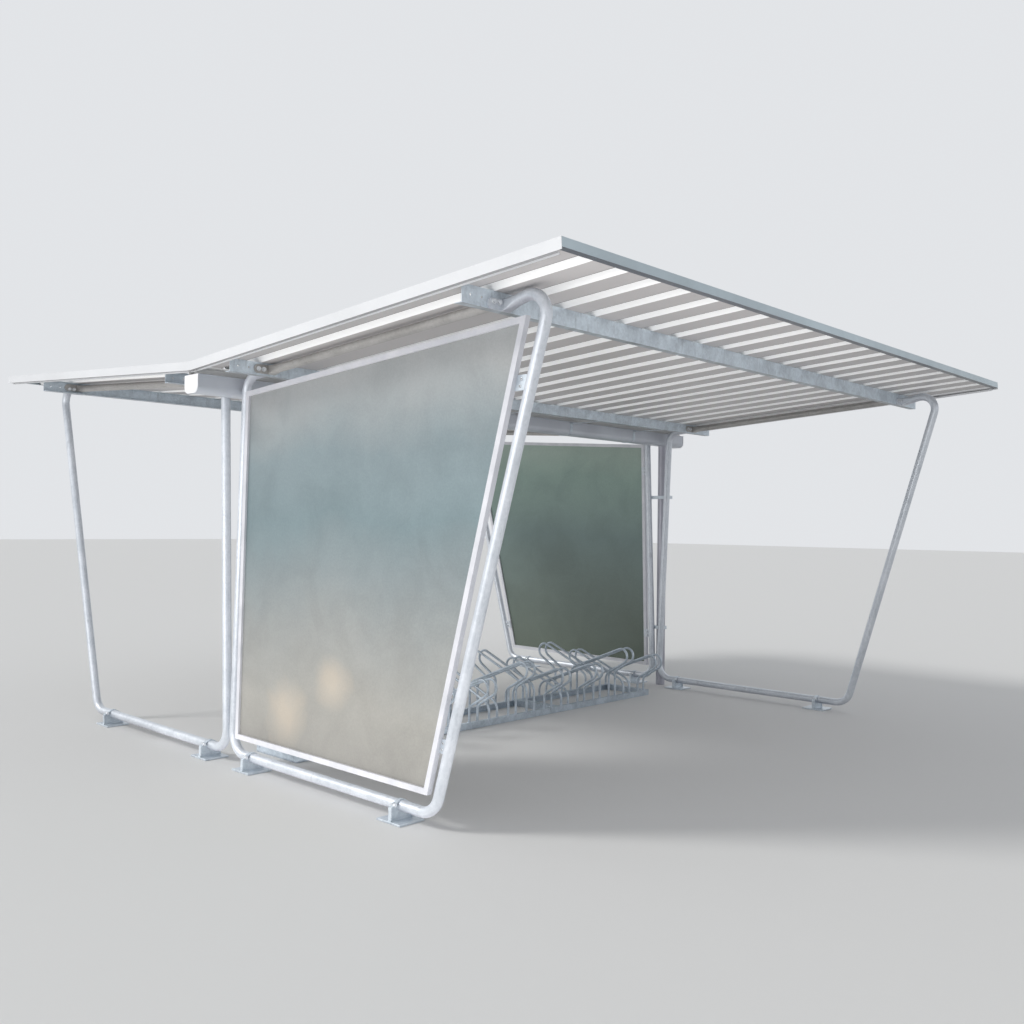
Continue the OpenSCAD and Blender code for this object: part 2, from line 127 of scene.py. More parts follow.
def facingDown(tree, start, full):
    flipped = calc(tree, "MULTIPLY", axesOf(tree, "Normal")["Z"], -1.0)
    return ramp(tree, flipped, [(start, grey(0.0)), (full, grey(1.0))])


def setRoughness(tree, shader, factor, look):
    rough = ramp(tree, factor, [(0.3, grey(look["roughLow"])), (0.7, grey(look["roughHigh"]))])
    tree.links.new(rough, shader.inputs["Roughness"])


def setBump(tree, shader, height, strength, distance):
    node = addNode(tree, "ShaderNodeBump", {"Height": height, "Strength": strength, "Distance": distance})
    tree.links.new(node.outputs["Normal"], shader.inputs["Normal"])


# Hot-dip zinc: spangles and clouds, long scuffs, and painted shade on downward faces where the look has one

zincGrain = {"cloud": (0.36, 0.62), "under": (0.3, 0.7), "scuff": (0.62, 0.74), "scuffScale": 34.0,
             "scuffStretch": (1, 1, 0.25), "bumpScale": 140.0, "bumpDepth": 0.001}


def galvanised(name, look):
    material, tree, shader = newMaterial(name)
    where = objectPlace(tree)
    tone = spangles(tree, where, look["spangle"], "Red")
    cloud = noise(tree, where, look["cloudScale"], detail=6.0, roughness=0.6, distortion=0.4)
    spangled = ramp(tree, tone, [(0.0, look["dark"]), (1.0, look["light"])])
    cloudLow, cloudHigh = zincGrain["cloud"]
    clouded = ramp(tree, cloud, [(cloudLow, look["dark"]), (cloudHigh, look["light"])])
    colour = mixColour(tree, look["cloud"], spangled, clouded)
    # Downward faces get the look's darker colour: painted shade, not a finish of the zinc
    if "under" in look:
        below = mixColour(tree, cloud, look["under"], colour)
        colour = mixColour(tree, facingDown(tree, *zincGrain["under"]), colour, below)
    along = objectPlace(tree, zincGrain["scuffStretch"])
    scuffAt = noise(tree, along, zincGrain["scuffScale"], detail=3.0)
    clean, scuffed = zincGrain["scuff"]
    scuffs = ramp(tree, scuffAt, [(clean, grey(1.0)), (scuffed, grey(look["scuff"]))])
    colour = mixColour(tree, 1.0, colour, scuffs, mode="MULTIPLY")
    tree.links.new(colour, shader.inputs["Base Color"])
    setRoughness(tree, shader, cloud, look)
    shader.inputs["Metallic"].default_value = look["metal"]
    grain = noise(tree, where, zincGrain["bumpScale"], detail=3.0)
    setBump(tree, shader, grain, look["bump"], zincGrain["bumpDepth"])
    return material


# Coated or rolled sheet: a soft drift between two tones, and painted shade on downward faces where the look
# has one

coatGrain = {"cloud": (0.3, 0.7), "under": (0.4, 0.6), "roughScale": 9.0, "bumpScale": 260.0,
             "bumpDepth": 0.0005}


def coatedSheet(name, look):
    material, tree, shader = newMaterial(name)
    where = objectPlace(tree)
    cloud = noise(tree, where, look["cloudScale"], detail=5.0)
    low, high = coatGrain["cloud"]
    colour = ramp(tree, cloud, [(low, look["dark"]), (high, look["light"])])
    # Downward faces get the look's darker colour: painted shade
    if "under" in look:
        colour = mixColour(tree, facingDown(tree, *coatGrain["under"]), colour, look["under"])
    tree.links.new(colour, shader.inputs["Base Color"])
    setRoughness(tree, shader, noise(tree, where, coatGrain["roughScale"]), look)
    shader.inputs["Metallic"].default_value = look["metal"]
    grain = noise(tree, where, coatGrain["bumpScale"], detail=2.0)
    setBump(tree, shader, grain, look["bump"], coatGrain["bumpDepth"])
    return material


# Roof sheet: weathered on top; below it grey pans between ribs painted white as painted light, brightest on
# their sideways webs, with a thin line of painted shade at each pan's end, found by the rib pitch

roofLook = {"firstRib": -2.052, "pitch": 0.207, "foot": 0.081, "edge": 0.005, "shadeLineTone": 0.35,
            "crest": (0.90, 0.90, 0.91), "web": (0.97, 0.97, 0.97), "webTurn": (0.3, 0.5),
            "panLight": (0.50, 0.48, 0.48), "panDark": (0.43, 0.41, 0.41), "topLight": (0.72, 0.73, 0.74),
            "topDark": (0.60, 0.61, 0.62), "downTurn": (0.1, 0.2), "streakStretch": (0.35, 5.0, 1.0),
            "streakScale": 6.0, "cloudScale": 1.2, "roughLow": 0.35, "roughHigh": 0.5, "bump": 0.1,
            "bumpScale": 220.0, "bumpDepth": 0.0005}


def ribbedRoof(name, look):
    material, tree, shader = newMaterial(name)
    where = objectPlace(tree)
    pitch = look["pitch"]
    fromFirst = calc(tree, "SUBTRACT", axesOf(tree, "Object")["Y"], look["firstRib"])
    phase = calc(tree, "FRACT", calc(tree, "DIVIDE", fromFirst, pitch))
    # The ribs' white underside, whiter still on the sideways webs, is painted light
    sideways = calc(tree, "ABSOLUTE", axesOf(tree, "Normal")["Y"])
    webFrom, webTo = look["webTurn"]
    web = ramp(tree, sideways, [(webFrom, grey(0.0)), (webTo, grey(1.0))])
    paintedRibLight = mixColour(tree, web, look["crest"], look["web"])
    inPan = ramp(tree, phase, [(0.0, grey(0.0)), (look["foot"] / pitch, grey(1.0))], steps=True)
    # A thin dark line at each pan's end, beside the next rib, is painted shade
    shadeLineStops = [(0.0, grey(1.0)), (1 - look["edge"] / pitch, grey(look["shadeLineTone"]))]
    edge = ramp(tree, phase, shadeLineStops, steps=True)
    cloud = noise(tree, where, look["cloudScale"], detail=5.0)
    pan = ramp(tree, cloud, [(0.3, look["panDark"]), (0.7, look["panLight"])])
    pan = mixColour(tree, 1.0, pan, edge, mode="MULTIPLY")
    below = mixColour(tree, inPan, paintedRibLight, pan)
    streaks = noise(tree, objectPlace(tree, look["streakStretch"]), look["streakScale"], detail=5.0)
    above = ramp(tree, streaks, [(0.35, look["topDark"]), (0.65, look["topLight"])])
    colour = mixColour(tree, facingDown(tree, *look["downTurn"]), above, below)
    tree.links.new(colour, shader.inputs["Base Color"])
    setRoughness(tree, shader, cloud, look)
    shader.inputs["Metallic"].default_value = 0.0
    grain = noise(tree, where, look["bumpScale"], detail=2.0)
    setBump(tree, shader, grain, look["bump"], look["bumpDepth"])
    return material


# Panel sheet: bands of tone over its height, a duller foot as weathering with a greenish middle and lighter
# top as painted reflection, fine flakes, blots and the stains of its foot

sheetLook = {"height": 2.0, "drift": 0.35, "driftScale": 1.6, "spangle": 0.007, "flakeDark": 0.93,
             "blot": 0.9, "blotScale": 3.2, "stain": (0.70, 0.59, 0.46), "stainMix": 0.42, "ragged": 0.9,
             "stains": (((0.53, -1.93, 0.345), 0.34), ((0.91, -1.93, 0.53), 0.27)),
             "paintedLightAndWeatherBands": [(0.06, (0.33, 0.32, 0.30)), (0.22, (0.41, 0.40, 0.37)), (0.36, (0.36, 0.37, 0.36)),
                       (0.50, (0.28, 0.32, 0.33)), (0.64, (0.22, 0.29, 0.31)), (0.80, (0.25, 0.31, 0.33)),
                       (0.97, (0.40, 0.41, 0.41))],
             "wipeStretch": (1.0, 1.0, 7.0), "wipeScale": 4.0, "roughLow": 0.30, "roughHigh": 0.44,
             "metal": 0.35, "bump": 0.08, "bumpScale": 60.0, "bumpDepth": 0.0006}
# The far panel sheet: a darker copy as painted shade, greener with a lighter top as painted reflection,
# without stains
farSheetShadeAndReflectionLook = dict(sheetLook, stains=(),
                    paintedLightAndWeatherBands=[(0.10, (0.14, 0.17, 0.14)), (0.35, (0.15, 0.19, 0.17)),
                           (0.60, (0.17, 0.23, 0.22)), (0.85, (0.25, 0.34, 0.30)),
                           (0.97, (0.34, 0.42, 0.37))])


def panelSheet(name, look):
    material, tree, shader = newMaterial(name)
    where = objectPlace(tree)
    wave = calc(tree, "SUBTRACT", noise(tree, where, look["driftScale"], detail=3.0), 0.5)
    raised = calc(tree, "ADD", axesOf(tree, "Object")["Z"], calc(tree, "MULTIPLY", wave, look["drift"]))
    # The height bands: weathering toward the foot, painted reflection in the greenish middle and lighter
    # top, and for the far sheet painted shade as well
    colour = ramp(tree, calc(tree, "DIVIDE", raised, look["height"]), look["paintedLightAndWeatherBands"])
    tone = spangles(tree, where, look["spangle"], "Green")
    flakes = ramp(tree, tone, [(0.0, grey(look["flakeDark"])), (1.0, grey(1.0))])
    colour = mixColour(tree, 1.0, colour, flakes, mode="MULTIPLY")
    cloud = noise(tree, where, look["blotScale"], detail=6.0, roughness=0.62, distortion=0.6)
    blots = ramp(tree, cloud, [(0.36, grey(look["blot"])), (0.6, grey(1.0))])
    colour = mixColour(tree, 1.0, colour, blots, mode="MULTIPLY")
    for centre, reach in look["stains"]:
        inputs = {0: where, 1: centre}
        apart = addNode(tree, "ShaderNodeVectorMath", inputs, operation="DISTANCE").outputs["Value"]
        wander = calc(tree, "MULTIPLY", cloud, look["ragged"])
        ragged = calc(tree, "ADD", calc(tree, "DIVIDE", apart, reach), wander)
        soft = ramp(tree, ragged, [(0.55, grey(look["stainMix"])), (1.0, grey(0.0))])
        colour = mixColour(tree, soft, colour, look["stain"])
    tree.links.new(colour, shader.inputs["Base Color"])
    wipes = noise(tree, objectPlace(tree, look["wipeStretch"]), look["wipeScale"])
    setRoughness(tree, shader, mixColour(tree, 0.5, cloud, wipes), look)
    shader.inputs["Metallic"].default_value = look["metal"]
    grain = noise(tree, where, look["bumpScale"], detail=3.0)
    setBump(tree, shader, grain, look["bump"], look["bumpDepth"])
    return material


# The looks of the zinc and coated pieces

# In the tube, fitting, purlin and bolt looks, the colour for downward faces is painted shade
tubeLook = {"light": (0.70, 0.73, 0.78), "dark": (0.55, 0.59, 0.64), "under": (0.40, 0.40, 0.46),
            "spangle": 0.012, "cloud": 0.6, "scuff": 0.82, "cloudScale": 8.0, "roughLow": 0.30,
            "roughHigh": 0.46, "metal": 0.45, "bump": 0.25}
fittingLook = dict(tubeLook, light=(0.70, 0.76, 0.81), dark=(0.50, 0.56, 0.62), cloudScale=22.0)
purlinLook = {"light": (0.70, 0.78, 0.85), "dark": (0.48, 0.54, 0.60), "under": (0.15, 0.14, 0.13),
              "spangle": 0.011, "cloud": 0.65, "scuff": 0.8, "cloudScale": 12.0, "roughLow": 0.38,
              "roughHigh": 0.58, "metal": 0.4, "bump": 0.25}
# The rafters: a darker copy of the tube zinc, as painted shade
rafterShadeLook = {"light": (0.46, 0.45, 0.44), "dark": (0.34, 0.33, 0.32), "spangle": 0.011, "cloud": 0.6,
              "scuff": 0.85, "cloudScale": 6.0, "roughLow": 0.34, "roughHigh": 0.52, "metal": 0.4,
              "bump": 0.25}
rackLook = {"light": (0.60, 0.67, 0.74), "dark": (0.40, 0.46, 0.52), "spangle": 0.01, "cloud": 0.6,
            "scuff": 0.8, "cloudScale": 14.0, "roughLow": 0.34, "roughHigh": 0.52, "metal": 0.5,
            "bump": 0.25}
# The bolts: a lighter copy of the tube zinc, as painted highlight
boltHighlightLook = dict(tubeLook, light=(0.88, 0.90, 0.92), dark=(0.60, 0.63, 0.67), under=(0.22, 0.24, 0.27),
                spangle=0.004, cloudScale=60.0, scuff=0.9)
# In the eave and verge looks, the colour for downward faces is painted shade
eaveLook = {"light": (0.50, 0.59, 0.64), "dark": (0.40, 0.47, 0.51), "under": (0.13, 0.14, 0.16),
            "cloudScale": 2.2, "roughLow": 0.32, "roughHigh": 0.46, "metal": 0.2, "bump": 0.1}
vergeLook = {"light": (0.72, 0.73, 0.75), "dark": (0.66, 0.67, 0.69), "under": (0.30, 0.30, 0.31),
             "cloudScale": 2.0, "roughLow": 0.35, "roughHigh": 0.5, "metal": 0.0, "bump": 0.1}
flashingLook = {"light": (0.88, 0.88, 0.88), "dark": (0.78, 0.78, 0.78), "cloudScale": 2.0,
                "roughLow": 0.35, "roughHigh": 0.5, "metal": 0.0, "bump": 0.1}
barLook = {"light": (0.70, 0.70, 0.74), "dark": (0.58, 0.59, 0.63), "cloudScale": 9.0,
           "roughLow": 0.3, "roughHigh": 0.45, "metal": 0.15, "bump": 0.2}
gutterLook = {"light": (0.58, 0.61, 0.66), "dark": (0.47, 0.49, 0.54), "cloudScale": 3.0,
              "roughLow": 0.36, "roughHigh": 0.5, "metal": 0.3, "bump": 0.15}
capLook = {"light": (0.90, 0.90, 0.92), "dark": (0.76, 0.77, 0.80), "cloudScale": 20.0,
           "roughLow": 0.35, "roughHigh": 0.5, "metal": 0.0, "bump": 0.15}
pipeLook = {"light": (0.50, 0.50, 0.56), "dark": (0.38, 0.38, 0.43), "cloudScale": 4.0,
            "roughLow": 0.28, "roughHigh": 0.4, "metal": 0.3, "bump": 0.15}
# Dark plugs in the screws' sockets: painted shade
socketShadeLook = {"light": (0.20, 0.21, 0.22), "dark": (0.12, 0.13, 0.14), "cloudScale": 200.0,
              "roughLow": 0.5, "roughHigh": 0.7, "metal": 0.2, "bump": 0.1}

materials = {
    "galvanised_tube": galvanised("tubeZinc", tubeLook),
    "galvanised_fitting": galvanised("fittingZinc", fittingLook),
    "galvanised_purlin": galvanised("purlinZinc", purlinLook),
    "eave_trim": coatedSheet("eaveCoat", eaveLook),
    "rack_steel": galvanised("rackZinc", rackLook),
    "roof_sheet": ribbedRoof("roofCoat", roofLook),
    "verge_trim": coatedSheet("vergeCoat", vergeLook),
    "gutter": coatedSheet("gutterZinc", gutterLook),
    "panel_bar": coatedSheet("barZinc", barLook),
    "panel_sheet": panelSheet("panelZinc", sheetLook),
    "downpipe": coatedSheet("pipeZinc", pipeLook),
}
boltZinc = galvanised("boltZinc", boltHighlightLook)
socketPaintedShade = coatedSheet("socketShade", socketShadeLook)

# Nodes whose finish differs from the rest of their slot, by a word in the node's name; the rafters' and the
# far panel sheet's darker finishes are painted shade
ownFinishes = {
    "rafter": galvanised("rafterZincShaded", rafterShadeLook),
    "gutter_end_caps": coatedSheet("capCoat", capLook),
    "drip_flashings": coatedSheet("flashingCoat", flashingLook),
    "far_panel_sheet": panelSheet("farPanelZincShadeAndReflection", farSheetShadeAndReflectionLook),
}
for entry in frame["record"]["subparts"]:
    mesh = nodes[entry["node"]].data
    mesh.materials.clear()
    own = [finish for word, finish in ownFinishes.items() if word in entry["node"]]
    mesh.materials.append(own[0] if own else materials[entry["material_slot"]])
print("stage: materials made")

# Helpers for the small pieces


def lathe(bm, matrix, profile, sides):
    rings = []
    for radius, height in profile:
        if radius == 0:
            rings.append([bm.verts.new(matrix @ Vector((0, 0, height)))])
            continue
        ring = []
        for i in range(sides):
            angle = 2 * math.pi * i / sides
            point = Vector((radius * math.cos(angle), radius * math.sin(angle), height))
            ring.append(bm.verts.new(matrix @ point))
        rings.append(ring)
    for lower, upper in zip(rings, rings[1:]):
        for i in range(sides):
            j = (i + 1) % sides
            if len(lower) == 1:
                bm.faces.new((lower[0], upper[j], upper[i]))
            elif len(upper) == 1:
                bm.faces.new((lower[i], lower[j], upper[0]))
            else:
                bm.faces.new((lower[i], lower[j], upper[j], upper[i]))


def aimed(centre, axis):
    turn = Vector(axis).normalized().to_track_quat("Z", "Y").to_matrix().to_4x4()
    return Matrix.Translation(Vector(centre)) @ turn


# Shares of a fastener's own size: chamfers, rims and how far a head sinks in its washer
fastener = {"shoulder": 0.86, "crown": 0.88, "washerEdge": 0.7, "washerRim": 0.96, "seat": 0.9,
            "tipRim": 0.8, "tipChamfer": 0.001, "nutTurn": 0.4}


def hexHead(bm, centre, axis, flat, height, turnBy=0.0):
    matrix = aimed(centre, axis) @ Matrix.Rotation(turnBy, 4, "Z")
    corner = flat / math.sqrt(3)
    profile = [(0, 0), (corner, 0), (corner, height * fastener["shoulder"]),
               (corner * fastener["crown"], height), (0, height)]
    lathe(bm, matrix, profile, 6)


def washer(bm, centre, axis, diameter, thickness):
    r = diameter / 2
    profile = [(0, 0), (r, 0), (r, thickness * fastener["washerEdge"]),
               (r * fastener["washerRim"], thickness), (0, thickness)]
    lathe(bm, aimed(centre, axis), profile, 24)


def threadTip(bm, centre, axis, r, length):
    profile = [(0, 0), (r, 0), (r, length - fastener["tipChamfer"]), (r * fastener["tipRim"], length),
               (0, length)]
    lathe(bm, aimed(centre, axis), profile, 12)


def boltThrough(bm, centre, axis, grip, size):
    out = Vector(axis).normalized()
    head = Vector(centre) + out * grip / 2
    back = Vector(centre) - out * grip / 2
    seat = fastener["seat"]
    washer(bm, head, out, size["washer"], size["washerT"])
    hexHead(bm, head + out * size["washerT"] * seat, out, size["flat"], size["head"], size["turn"])
    washer(bm, back, -out, size["washer"], size["washerT"])
    nutTurn = size["turn"] + fastener["nutTurn"]
    hexHead(bm, back - out * size["washerT"] * seat, -out, size["flat"], size["nut"], nutTurn)
    tip = back - out * (size["washerT"] + size["nut"]) * seat
    threadTip(bm, tip, -out, size["thread"] / 2, size["tip"])


# Weld beads: a ring's corners as shares of its width, outwards and up, and a bead's steps and swell
weldShape = {"ring": ((1, 0), (0.62, 0.45), (0.2, 0.9)), "sink": 0.001, "step": 0.8, "swell": 0.12}


def seamRing(bm, centre, axis, radius, width):
    sunk = radius - weldShape["sink"]
    corners = [(radius + width * out, width * up) for out, up in weldShape["ring"]]
    lathe(bm, aimed(centre, axis), [(sunk, 0)] + corners + [(sunk, width)], 20)


def bead(bm, start, end, width):
    begin, finish = Vector(start), Vector(end)
    length = (finish - begin).length
    steps = max(2, int(length / (width * weldShape["step"])))
    profile = [(0, 0)]
    for i in range(steps + 1):
        swell = 1.0 + weldShape["swell"] * (i % 2)  # every other ring of the bead is a little thicker
        profile.append((width / 2 * swell, length * i / steps))
    profile.append((0, length))
    lathe(bm, aimed(begin, finish - begin), profile, 8)


def extrudeX(bm, outline, xLow, xHigh):
    front = [bm.verts.new((xLow, y, z)) for y, z in outline]
    rear = [bm.verts.new((xHigh, y, z)) for y, z in outline]
    bm.faces.new(front)
    bm.faces.new(rear[::-1])
    for i in range(len(outline)):
        j = (i + 1) % len(outline)
        bm.faces.new((front[i], rear[i], rear[j], front[j]))


def finishPiece(name, bm, material, smooth=True):
    bmesh.ops.recalc_face_normals(bm, faces=bm.faces)
    mesh = bpy.data.meshes.new(name)
    bm.to_mesh(mesh)
    bm.free()
    piece = bpy.data.objects.new(name, mesh)
    bpy.context.collection.objects.link(piece)
    mesh.materials.append(material)
    if smooth:
        mesh.shade_smooth()
        mesh.set_sharp_from_angle(angle=math.radians(35))
    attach(piece, "root")
    return piece


# The name of each half frame, its side in x and the y of its plane
halfFrames = [("near_right", 1, -1.912), ("near_left", -1, -1.912),
              ("far_right", 1, 1.912), ("far_left", -1, 1.912)]

# Bolts through the flattened tube ends and the purlins; low and high are the x of the joint's faces

jointSize = {"washer": 0.024, "washerT": 0.0025, "flat": 0.018, "head": 0.0075, "nut": 0.009,
             "thread": 0.012, "tip": 0.006, "turn": 0.2}
jointPlaces = {"hook": {"low": 1.9685, "high": 1.985, "z": 2.136, "steps": (0.040, 0.068)},
               "run": {"low": 0.3205, "high": 0.337, "z": 2.040, "steps": (0.046, 0.076)}}
for label, side, planeY in halfFrames:
    for kind, joint in jointPlaces.items():
        bm = bmesh.new()
        middle = side * (joint["low"] + joint["high"]) / 2
        grip = joint["high"] - joint["low"]
        for step in joint["steps"]:
            boltThrough(bm, (middle, planeY - step, joint["z"]), (side, 0, 0), grip, jointSize)
        finishPiece(label + "_" + kind + "_bolts", bm, boltZinc)
print("stage: joint bolts made")

# Screws through the tabs of the side panels, in pairs, with nuts behind, and dark plugs in the sockets as
# painted shade

tabHeights = {"inner": (0.410, 1.730), "outer": (0.360, 1.820)}
tabScrew = {"step": 0.0135, "plate": -1.920, "head": 0.0065, "rise": 0.0035, "edge": 0.4, "rim": 0.8,
            "crown": 0.85, "socket": 0.0032, "socketRim": 1.1, "socketLip": 0.9, "socketFloor": 0.25}
socketShadeFill = {"share": 0.97, "low": 0.2, "high": 0.45}
tabNut = {"back": -1.909, "washer": 0.016, "washerT": 0.002, "seat": 0.0018, "flat": 0.011,
          "height": 0.007, "tipAt": 0.009, "tipRadius": 0.004, "tip": 0.005}

# The gap between a leg and the panel's bar, which widens or narrows over the panel's height
panelFoot = 0.150
legGaps = {"inner": {"legX": 0.0275, "lean": 2.3, "halfTube": 0.0242, "gap": 0.034, "change": -0.018,
                     "height": 1.795, "towards": 1},
           "outer": {"legX": 1.590, "lean": 16.4, "halfTube": 0.0252, "gap": 0.019, "change": 0.037,
                     "height": 1.922, "towards": -1}}


def gapMiddle(leg, z):
    gap = leg["gap"] + leg["change"] * (z - panelFoot) / leg["height"]
    legMiddle = leg["legX"] + z * math.tan(math.radians(leg["lean"]))
    return legMiddle + leg["towards"] * (leg["halfTube"] + gap / 2)


def tabScrewHead(heads, sockets, matrix):
    r, s, up = tabScrew["head"], tabScrew["socket"], tabScrew["rise"]
    floorZ = up * tabScrew["socketFloor"]
    lathe(heads, matrix, [(0, 0), (r, 0), (r, up * tabScrew["edge"]),
                          (r * tabScrew["rim"], up * tabScrew["crown"]), (s * tabScrew["socketRim"], up),
                          (s, up * tabScrew["socketLip"]), (s, floorZ), (0, floorZ)], 20)
    # The dark hex plug inside each socket is painted shade of the recess
    wide, low, high = s * socketShadeFill["share"], up * socketShadeFill["low"], up * socketShadeFill["high"]
    lathe(sockets, matrix, [(0, low), (wide, low), (wide, high), (0, high)], 6)


def tabScrewNut(nuts, x, half, z):
    away = (0, half, 0)
    washer(nuts, (x, half * tabNut["back"], z), away, tabNut["washer"], tabNut["washerT"])
    seatY = half * (tabNut["back"] + tabNut["seat"])
    hexHead(nuts, (x, seatY, z), away, tabNut["flat"], tabNut["height"])
    tipY = half * (tabNut["back"] + tabNut["tipAt"])
    threadTip(nuts, (x, tipY, z), away, tabNut["tipRadius"], tabNut["tip"])


for label, half in (("near_panel", 1), ("far_panel", -1)):
    heads, sockets, nuts = bmesh.new(), bmesh.new(), bmesh.new()
    for edgeName, heights in tabHeights.items():
        for height in heights:
            for z in (height - tabScrew["step"], height + tabScrew["step"]):
                x = half * gapMiddle(legGaps[edgeName], z)
                tabScrewHead(heads, sockets, aimed((x, half * tabScrew["plate"], z), (0, -half, 0)))
                tabScrewNut(nuts, x, half, z)
    finishPiece(label + "_tab_screws", heads, boltZinc)
    finishPiece(label + "_tab_socket_shade", sockets, socketPaintedShade)
    finishPiece(label + "_tab_nuts", nuts, boltZinc)
print("stage: tab screws made")

# Feet: base plate, upright web below the tube, and a strap over it, with a bolt and weld beads

footSpec = {"xs": (0.210, 1.390), "tube": 0.02415, "axis": 0.065, "shoulder": 0.064, "spread": 0.060,
            "strap": 0.020, "strapT": 0.005, "arc": 18, "web": 0.006, "webFit": 0.0004, "overlap": 0.001,
            "plate": 0.008, "width": 0.155, "length": 0.139, "bevel": 0.0012, "sink": 0.0005,
            "boltAt": 0.038, "boltZ": 0.072, "bead": 0.006, "beadInset": 0.006}
footSize = {"washer": 0.020, "washerT": 0.002, "flat": 0.016, "head": 0.0095, "nut": 0.008,
            "thread": 0.010, "tip": 0.004, "turn": 0.1}


def arcPoint(radius, angle):
    return (radius * math.cos(angle), footSpec["axis"] + radius * math.sin(angle))


def strapLine(radius, spread):
    rise = footSpec["shoulder"] - footSpec["axis"]
    leave = math.atan2(rise, spread) + math.acos(radius / math.hypot(spread, rise))
    low = footSpec["plate"] - footSpec["sink"]
    line = [(-spread, low), (-spread, footSpec["shoulder"])]
    for i in range(footSpec["arc"] + 1):
        line.append(arcPoint(radius, math.pi - leave - (math.pi - 2 * leave) * i / footSpec["arc"]))
    return line + [(spread, footSpec["shoulder"]), (spread, low)], leave


def footStrap(bm, x, planeY):
    outer, _ = strapLine(footSpec["tube"] + footSpec["strapT"], footSpec["spread"])
    inner, leave = strapLine(footSpec["tube"], footSpec["spread"] - footSpec["strapT"])
    outline = [(planeY + y, z) for y, z in outer + inner[::-1]]
    extrudeX(bm, outline, x - footSpec["strap"] / 2, x + footSpec["strap"] / 2)
    return leave


def footWeb(bm, x, planeY, leave):
    reach = footSpec["spread"] - footSpec["strapT"] + footSpec["overlap"]
    low, shoulder, steps = footSpec["plate"] - footSpec["sink"], footSpec["shoulder"], 2 * footSpec["arc"]
    outline = [(-reach, shoulder), (-reach, low), (reach, low), (reach, shoulder)]
    for i in range(steps + 1):
        angle = leave - (math.pi + 2 * leave) * i / steps
        outline.append(arcPoint(footSpec["tube"] - footSpec["webFit"], angle))
    extrudeX(bm, [(planeY + y, z) for y, z in outline], x - footSpec["web"] / 2, x + footSpec["web"] / 2)


def footPlate(bm, x, planeY):
    halfW, halfL, top = footSpec["width"] / 2, footSpec["length"] / 2, footSpec["plate"]
    bevel = footSpec["bevel"]
    rings = []
    for inset, z in ((0, 0), (0, top - bevel), (bevel, top)):
        rings.append([bm.verts.new((x + sx * (halfW - inset), planeY + sy * (halfL - inset), z))
                      for sx, sy in ((-1, -1), (1, -1), (1, 1), (-1, 1))])
    bm.faces.new(rings[0])
    bm.faces.new(rings[-1])
    for lower, upper in zip(rings, rings[1:]):
        for i in range(4):
            j = (i + 1) % 4
            bm.faces.new((lower[i], lower[j], upper[j], upper[i]))


def footWelds(bm, x, planeY):
    top, width = footSpec["plate"], footSpec["bead"]
    for face in (-1, 1):
        webX = x + face * footSpec["web"] / 2
        bead(bm, (webX, planeY - footSpec["spread"] + footSpec["beadInset"], top),
             (webX, planeY + footSpec["spread"] - footSpec["beadInset"], top), width)
        strapY = planeY + face * footSpec["spread"]
        bead(bm, (x - footSpec["strap"] / 2, strapY, top), (x + footSpec["strap"] / 2, strapY, top), width)


for label, side, planeY in halfFrames:
    feet, bolts, welds = bmesh.new(), bmesh.new(), bmesh.new()
    for x in footSpec["xs"]:
        leave = footStrap(feet, side * x, planeY)
        footWeb(feet, side * x, planeY, leave)
        footPlate(feet, side * x, planeY)
        boltAt = (side * x, planeY - footSpec["boltAt"], footSpec["boltZ"])
        boltThrough(bolts, boltAt, (1, 0, 0), footSpec["web"], footSize)
        footWelds(welds, side * x, planeY)
    fitting = materials["galvanised_fitting"]
    shaped = finishPiece(label + "_feet_shaped", feet, fitting)
    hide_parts(label + "_feet")
    finishPiece(label + "_foot_bolts", bolts, boltZinc)
    finishPiece(label + "_foot_welds", welds, fitting)
print("stage: feet made")

# Screws with washers that hold the ribs down to the purlins

slopeTurn = math.radians(3.67)
roofBase = 2.052  # height of the pans at the valley
ribCount = 20
ribCentre = roofLook["firstRib"] + roofLook["foot"] / 2
screwSpec = {"purlins": (0.310, 1.958), "crest": 0.032, "washer": 0.016, "washerT": 0.0018,
             "seat": 0.0016, "flat": 0.008, "head": 0.0045, "turn": 0.7}


def onSlope(side, along, y, above):
    x = along * math.cos(slopeTurn) - above * math.sin(slopeTurn)
    z = roofBase + along * math.sin(slopeTurn) + above * math.cos(slopeTurn)
    return (side * x, y, z)


def slopeNormal(side):
    return (-side * math.sin(slopeTurn), 0, math.cos(slopeTurn))


for label, side in (("right", 1), ("left", -1)):
    bm = bmesh.new()
    up = slopeNormal(side)
    for along in screwSpec["purlins"]:
        for rib in range(ribCount):
            y = ribCentre + rib * roofLook["pitch"]
            base = onSlope(side, along, y, screwSpec["crest"])
            washer(bm, base, up, screwSpec["washer"], screwSpec["washerT"])
            top = onSlope(side, along, y, screwSpec["crest"] + screwSpec["seat"])
            hexHead(bm, top, up, screwSpec["flat"], screwSpec["head"], rib * screwSpec["turn"])
    finishPiece(label + "_roof_screws", bm, boltZinc)

# Rivets along the verge and eave trims

rivetSpec = {"radius": 0.0042, "rise": 0.0018, "edge": 0.0004, "crown": 0.7, "shoulder": 0.8, "sides": 12,
             "leafTop": 0.034, "vergeFirst": 0.2, "vergeStep": 0.40, "vergeCount": 6, "vergeY": 2.016,
             "eaveAlong": 2.489}
rivetProfile = [(0, -rivetSpec["edge"]), (rivetSpec["radius"], -rivetSpec["edge"]),
                (rivetSpec["radius"], rivetSpec["edge"]),
                (rivetSpec["radius"] * rivetSpec["crown"], rivetSpec["rise"] * rivetSpec["shoulder"]),
                (0, rivetSpec["rise"])]


def rivet(bm, side, along, y):
    matrix = aimed(onSlope(side, along, y, rivetSpec["leafTop"]), slopeNormal(side))
    lathe(bm, matrix, rivetProfile, rivetSpec["sides"])


